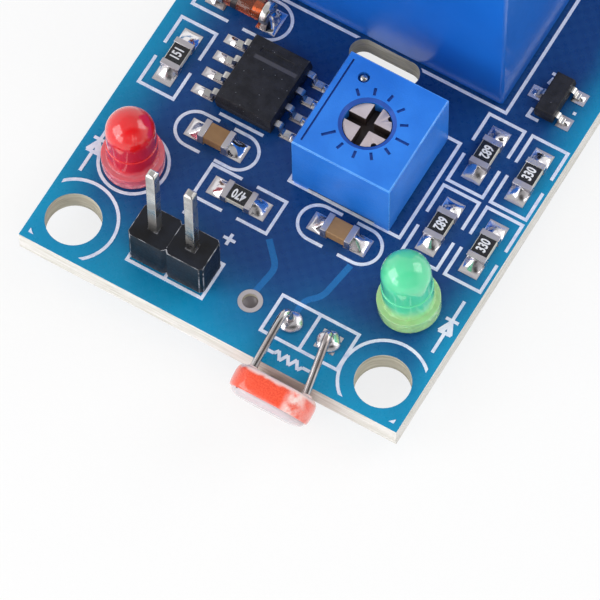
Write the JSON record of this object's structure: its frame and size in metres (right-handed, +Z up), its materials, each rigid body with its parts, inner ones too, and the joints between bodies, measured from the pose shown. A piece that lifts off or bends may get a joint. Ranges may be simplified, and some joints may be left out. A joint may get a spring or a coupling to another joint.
{
  "type": "light sensor relay module",
  "caption": "Blue circuit board with a photoresistor over its front edge, indicator lamps, comparator, trimmer, sealed relay and screw terminal.",
  "frame": {"origin": "centre of the four mounting holes, on the board's underside", "axes": "+Z up out of the board's top face, +X to the right with the sensor in front, +Y from the sensor towards the screw terminal"},
  "size_m": [0.0256, 0.0531, 0.0184],
  "materials": {
    "board_laminate": "blue solder mask over glass-epoxy laminate",
    "white_ink": "printed ink",
    "black_glaze": "fired glaze",
    "alumina_ceramic": "white fired ceramic",
    "brown_ceramic": "tan fired ceramic",
    "solder": "bright reflowed tin",
    "tinned_metal": "tinned",
    "black_epoxy": "moulded",
    "red_glass": "clear reddish glass",
    "trimmer_plastic": "moulded, satin",
    "rotor_plastic": "moulded",
    "spring_bronze": "stamped",
    "relay_plastic": "moulded, glossy",
    "black_plastic": "moulded",
    "red_resin": "diffused casting resin",
    "green_resin": "diffused casting resin",
    "orange_ceramic": "dyed ceramic",
    "sensor_film": "light-sensitive film",
    "clear_resin": "clear coat",
    "terminal_plastic": "moulded",
    "plated_steel": "nickel plated"
  },
  "bodies": {
    "board": {"circuit_board": "board_laminate", "board_print": "white_ink", "resistor_glaze": "black_glaze", "resistor_1_body": "alumina_ceramic", "resistor_1_ends": "solder", "resistor_2_body": "alumina_ceramic", "resistor_2_ends": "solder", "resistor_3_body": "alumina_ceramic", "resistor_3_ends": "solder", "resistor_4_body": "alumina_ceramic", "resistor_4_ends": "solder", "resistor_5_body": "alumina_ceramic", "resistor_5_ends": "solder", "resistor_6_body": "alumina_ceramic", "resistor_6_ends": "solder", "capacitor_1_body": "brown_ceramic", "capacitor_1_ends": "solder", "capacitor_2_body": "brown_ceramic", "capacitor_2_ends": "solder", "surface_lands": "solder", "surface_solder": "solder", "sensor_solder": "solder", "underside_lands": "solder", "underside_solder": "solder", "comparator_leads": "tinned_metal", "transistor_leads": "tinned_metal", "trimmer_pins": "tinned_metal", "relay_pins": "tinned_metal", "header_pins": "tinned_metal", "lamp_red_leads": "tinned_metal", "lamp_green_leads": "tinned_metal", "sensor_leads": "tinned_metal", "diode_caps": "tinned_metal", "terminal_contacts": "tinned_metal", "comparator_body": "black_epoxy", "transistor_body": "black_epoxy", "diode_glass": "red_glass", "trimmer_housing": "trimmer_plastic", "trimmer_track_plate": "alumina_ceramic", "trimmer_plug": "tinned_metal", "relay_case": "relay_plastic", "relay_base": "relay_plastic", "header_block": "black_plastic", "lamp_red_lens": "red_resin", "lamp_green_lens": "green_resin", "sensor_body": "orange_ceramic", "sensor_track": "sensor_film", "sensor_coating": "clear_resin", "terminal_housing": "terminal_plastic"},
    "trimmer_rotor": {"trimmer_rotor": "rotor_plastic", "trimmer_wiper": "spring_bronze"},
    "terminal_screw_1": {"terminal_screw_1": "plated_steel"},
    "terminal_clamp_1": {"terminal_clamp_1": "plated_steel"},
    "terminal_screw_2": {"terminal_screw_2": "plated_steel"},
    "terminal_clamp_2": {"terminal_clamp_2": "plated_steel"},
    "terminal_screw_3": {"terminal_screw_3": "plated_steel"},
    "terminal_clamp_3": {"terminal_clamp_3": "plated_steel"}
  },
  "joints": [
    {"name": "trimmer_turn", "type": "hinge", "parent": "board", "child": "trimmer_rotor", "pos_m": [0.00261, -0.01074, 0.0068], "axis": [0, 0, 1], "range_deg": [-128, 128]},
    {"name": "terminal_screw_1_turn", "type": "hinge", "parent": "board", "child": "terminal_screw_1", "pos_m": [-0.00508, 0.02082, 0.0106], "axis": [0, 0, -1], "range_deg": [0, 1225]},
    {"name": "terminal_clamp_1_rise", "type": "slide", "parent": "board", "child": "terminal_clamp_1", "axis": [0, 0, 1], "range_m": [0, 0.0017]},
    {"name": "terminal_screw_2_turn", "type": "hinge", "parent": "board", "child": "terminal_screw_2", "pos_m": [0, 0.02082, 0.0106], "axis": [0, 0, -1], "range_deg": [0, 1225]},
    {"name": "terminal_clamp_2_rise", "type": "slide", "parent": "board", "child": "terminal_clamp_2", "axis": [0, 0, 1], "range_m": [0, 0.0017]},
    {"name": "terminal_screw_3_turn", "type": "hinge", "parent": "board", "child": "terminal_screw_3", "pos_m": [0.00508, 0.02082, 0.0106], "axis": [0, 0, -1], "range_deg": [0, 1225]},
    {"name": "terminal_clamp_3_rise", "type": "slide", "parent": "board", "child": "terminal_clamp_3", "axis": [0, 0, 1], "range_m": [0, 0.0017]}
  ],
  "couplings": [
    {"joint": "terminal_screw_1_turn", "follows": "terminal_clamp_1_rise", "rad_per_m": 12566},
    {"joint": "terminal_screw_2_turn", "follows": "terminal_clamp_2_rise", "rad_per_m": 12566},
    {"joint": "terminal_screw_3_turn", "follows": "terminal_clamp_3_rise", "rad_per_m": 12566}
  ]
}
